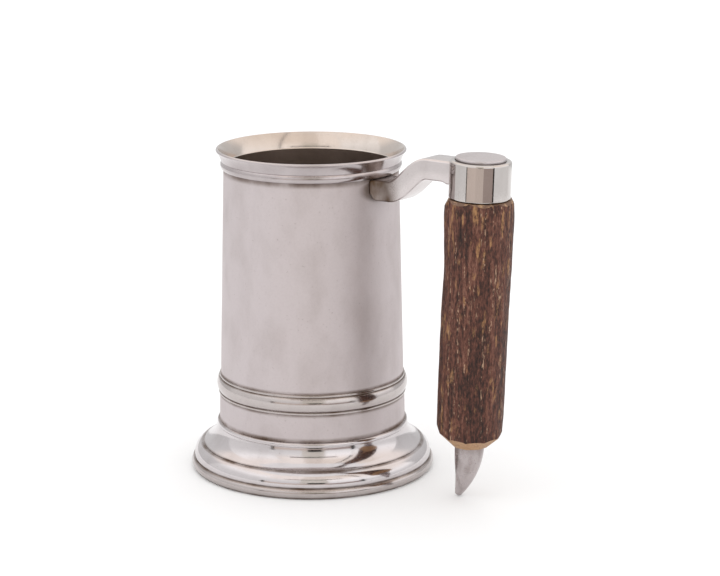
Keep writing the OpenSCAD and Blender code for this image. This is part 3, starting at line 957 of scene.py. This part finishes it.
# A casting polished by hand: bright and soft, and darker brown where it meets the drum
polished = pewter("pewter_cast_polished", "cfc7c6", "503a24", roughness=0.13, grime_and_shade=0.3, root=(6, 17, 1.0))
# Buffed on a wheel: crisp upright stripes of light and dark
mirror = pewter("pewter_cast_mirror", "cac4c1", DARK_BROWN, roughness=0.05, scuffs=0.05,
                line_depth=0.001, grime_and_shade=0.9)
# Rubbed by thumbs: an even grey haze
scuffed = pewter("pewter_cast_scuffed", "c3bdbf", "6b5a50", roughness=0.30, scuffs=0.14,
                 line_depth=0.004, grime_and_shade=0.6)
# Left from the file: blotchy, with tarnish in the scratches
filed = pewter("pewter_cast_filed", "b8afaf", "5f4c40", roughness=0.18, scuffs=0.12, line_depth=0.004,
               seams=spur_seams, cloud=(4, 9), patchy=0.4)
# Never polished inside: dull and stained brown, and darkened further with painted shade, so the mouth looks
# deep
stained_and_shaded = pewter("pewter_inside_stained_and_shaded", "93837a", "3a2c24", roughness=0.38, scuffs=0.15,
                 line_depth=0.006, grime_and_shade=0.6)


# %% Pewter on the pieces
def finish(piece, *materials):
    """Gives a piece its materials, in place of any that it has."""
    piece.data.materials.clear()
    for material in materials:
        piece.data.materials.append(material)


def faces_axis(face):
    """True for a face that looks towards the tankard's axis."""
    centre = face.calc_center_median()
    return face.normal.x * centre.x + face.normal.y * centre.y < 0


def line(piece, outside, inside):
    """Gives a piece one material outside and another on the faces that look towards the axis."""
    finish(piece, outside, inside)
    pick(piece)
    bpy.ops.object.mode_set(mode="EDIT")
    paint_faces(faces_axis)
    bpy.ops.object.mode_set(mode="OBJECT")


line(drum, satin, stained_and_shaded)
line(collar, lipped, mellow)
worn_by = [(band, banded), (foot, spun), (ring, ringed), (arm, polished), (socket, mirror)]
worn_by += [(cap, scuffed), (spur, filed), (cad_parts["floor_disc"], stained_and_shaded)]
for piece, material in worn_by:
    finish(piece, material)
    print(piece.name, "is", material.name)

# %% [markdown]
# ## Stag antler
# Antler is bone with a rough brown outside. Where hands have rubbed its ridges they are worn to tan,
# and its channels keep the dark. So the colour follows the relief attribute: dark in the channels,
# brown on the slopes, and tan on the highest ridges, but only in the patches where noise lets the
# wear through. The core is dense pale bone, smoother than the outside, with fine pores.

# %% Antler bark
# Tones of the bark from its channels up to its slopes
BARK_TONES = ((0.3, "1e100c"), (0.41, "3a2018"), (0.5, "522e23"), (0.6, "683f31"), (0.74, "835b4b"))
RUBBED_TAN, PALE_CHIP = "a1774c", "b8957a"
tree = bark_tree
streaks = add(tree, "ShaderNodeTexNoise", {**sized(tree, 0.8, 2.4, 6.0), "Roughness": 0.72})
areas = add(tree, "ShaderNodeTexNoise", sized(tree, 2.6, 10, 4.0))
chips = add(tree, "ShaderNodeTexNoise", sized(tree, 0.6, 1.8, 2.0))
chip_rows = add(tree, "ShaderNodeTexNoise", sized(tree, 1.2, 26, 1.0))
stood_out = add(tree, "ShaderNodeAttribute", attribute_name="relief").outputs["Fac"]

# Brown by relief and fibre
toned = {0: stood_out, 1: 0.05, 2: streaks.outputs[0]}
level = add(tree, "ShaderNodeMath", toned, operation="MULTIPLY_ADD")
tones = add(tree, "ShaderNodeValToRGB", {"Fac": level.outputs[0]})
ramp = tones.color_ramp
for at, hex_value in BARK_TONES:
    step = ramp.elements.new(at)
    step.color = colour(hex_value)
ramp.elements.remove(ramp.elements[0])
ramp.elements.remove(ramp.elements[-1])

# Tan where hands have rubbed the ridges
lift = add(tree, "ShaderNodeMath", {0: stood_out, 1: 0.03, 2: areas.outputs[0]}, operation="MULTIPLY_ADD")
wear = add(tree, "ShaderNodeMapRange", {"Value": lift.outputs[0], "From Min": 0.59, "From Max": 0.67})
broken = add(tree, "ShaderNodeMapRange", {"Value": streaks.outputs[0], "From Min": 0.38, "From Max": 0.6})
rubbed = add(tree, "ShaderNodeMath", {0: wear.outputs[0], 1: broken.outputs[0]}, operation="MULTIPLY")
worn_tan = {0: rubbed.outputs[0], 6: tones.outputs[0], 7: colour(RUBBED_TAN)}
tan = add(tree, "ShaderNodeMix", worn_tan, data_type="RGBA")

# Pale chips in long rows, where the bark has flaked
flaked = {"Value": chips.outputs[0], "From Min": 0.52, "From Max": 0.66, "To Max": 0.85}
chipped = add(tree, "ShaderNodeMapRange", flaked)
in_row = add(tree, "ShaderNodeMapRange", {"Value": chip_rows.outputs[0], "From Min": 0.58, "From Max": 0.66})
shown = add(tree, "ShaderNodeMath", {0: chipped.outputs[0], 1: in_row.outputs[0]}, operation="MULTIPLY")
pale_chips = {0: shown.outputs[0], 6: tan.outputs[2], 7: colour(PALE_CHIP)}
pale = add(tree, "ShaderNodeMix", pale_chips, data_type="RGBA")

# Fine fibres that are too small for the mesh
grain = add(tree, "ShaderNodeTexNoise", sized(tree, 0.4, 2.5, 3.0))
raised = add(tree, "ShaderNodeBump", {"Height": grain.outputs[0], "Distance": 0.3 * MM, "Strength": 0.9})
look = {"Base Color": pale.outputs[2], "Roughness": 0.6, "Normal": raised.outputs[0], "IOR": 1.5}
look["Specular IOR Level"] = 0.3
show(tree, add(tree, "ShaderNodeBsdfPrincipled", look))
print("bark:", len(tree.nodes), "nodes")

# %% [markdown]
# The core shows only where the rasp cut through. It is dense and almost smooth, speckled with pores,
# and the cuts by the socket, which hands touch, are browner than the ones by the spur.

# %% Antler core
PORE_BROWN, BONE, HANDLED_BROWN = "8a6444", "b48e68", "5e3d2c"
SPUR_END, SOCKET_END = 60 * MM, 100 * MM
tree = core_tree
pores = add(tree, "ShaderNodeTexNoise", sized(tree, 0.5, 1.5, 4.0))
bone = add(tree, "ShaderNodeValToRGB", {"Fac": pores.outputs[0]})
bone.color_ramp.elements[0].position = 0.3
bone.color_ramp.elements[0].color = colour(PORE_BROWN)
bone.color_ramp.elements[1].position = 0.65
bone.color_ramp.elements[1].color = colour(BONE)
handled = add(tree, "ShaderNodeTexNoise", sized(tree, 2.5, 2.5, 4.0))
place = add(tree, "ShaderNodeTexCoord")
rise = add(tree, "ShaderNodeSeparateXYZ", {"Vector": place.outputs["Object"]})
upper = {"Value": rise.outputs["Z"], "From Min": SPUR_END, "From Max": SOCKET_END}
upper.update({"To Min": -0.12, "To Max": 0.12})
dirtier = add(tree, "ShaderNodeMapRange", upper)
soiled = add(tree, "ShaderNodeMath", {0: handled.outputs[0], 1: dirtier.outputs[0]}, operation="ADD")
soil_range = {"Value": soiled.outputs[0], "From Min": 0.5, "From Max": 0.64, "To Max": 0.85}
brown = add(tree, "ShaderNodeMapRange", soil_range)
core_mix = {0: brown.outputs[0], 6: bone.outputs[0], 7: colour(HANDLED_BROWN)}
core_tone = add(tree, "ShaderNodeMix", core_mix, data_type="RGBA")
pitted = add(tree, "ShaderNodeBump", {"Height": pores.outputs[0], "Distance": 0.1 * MM, "Strength": 0.6})
look = {"Base Color": core_tone.outputs[2], "Roughness": 0.55, "Normal": pitted.outputs[0], "IOR": 1.5}
show(tree, add(tree, "ShaderNodeBsdfPrincipled", look))
print("core:", len(tree.nodes), "nodes")

# %% [markdown]
# ## Steel
# The rod, nut and washer inside the handle are plain mild steel, grey and dull, with a trace of rust
# where damp has reached them.

# %% Steel
STEEL_GREY, RUST = "8f9092", "6d4e3a"
steel, tree = new_material("mild_steel_dull")
damp = add(tree, "ShaderNodeTexNoise", sized(tree, 1.5, 3, 4.0))
rusty = add(tree, "ShaderNodeValToRGB", {"Fac": damp.outputs[0]})
rusty.color_ramp.elements[0].position = 0.5
rusty.color_ramp.elements[0].color = colour(STEEL_GREY)
rusty.color_ramp.elements[1].position = 0.75
rusty.color_ramp.elements[1].color = colour(RUST)
look = {"Base Color": rusty.outputs[0], "Metallic": 1.0, "Roughness": 0.45}
show(tree, add(tree, "ShaderNodeBsdfPrincipled", look))
for name in ("tie_rod", "rod_nut", "rod_washer"):
    finish(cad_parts[name], steel)
    print(name, "is", steel.name)
